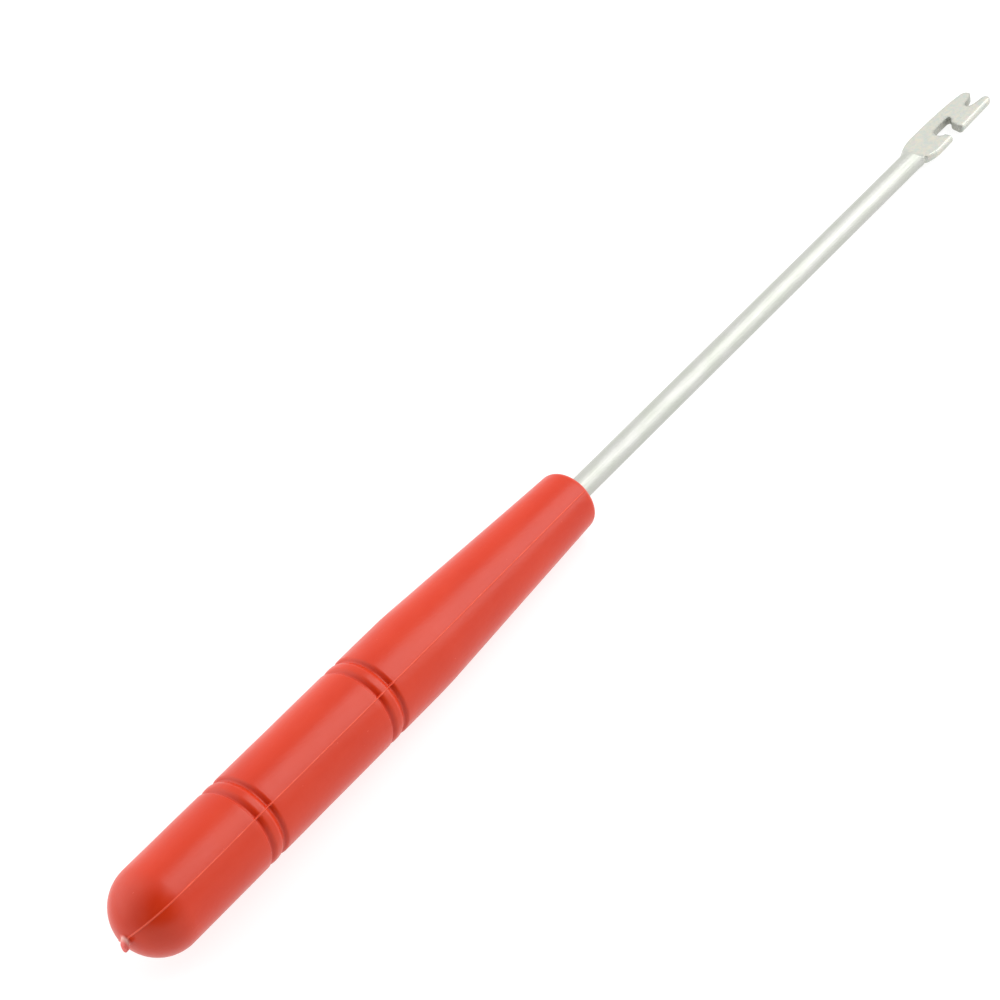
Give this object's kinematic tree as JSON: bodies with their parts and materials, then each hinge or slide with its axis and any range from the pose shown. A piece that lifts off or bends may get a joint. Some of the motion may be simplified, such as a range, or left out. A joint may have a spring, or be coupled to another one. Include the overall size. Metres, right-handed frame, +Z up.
{
  "type": "seam hook tool",
  "caption": "Slim hand tool for opening seams: a moulded plastic handle with ring grooves on a long round wire ending in a flat notched and forked blade.",
  "frame": {"origin": "on the table, under the centre of the tool's box as it lies at rest", "axes": "+X along the tool towards the tip of the blade, +Z up from the table, blade's upper face up, side notch towards -Y"},
  "size_m": [0.1848, 0.0112, 0.013],
  "materials": {
    "red_plastic": "satin moulded plastic",
    "plated_steel": "bright plated wire, drawn along its length"
  },
  "bodies": {
    "root": {"handle": "red_plastic", "wire": "plated_steel", "blade": "plated_steel"}
  },
  "joints": []
}
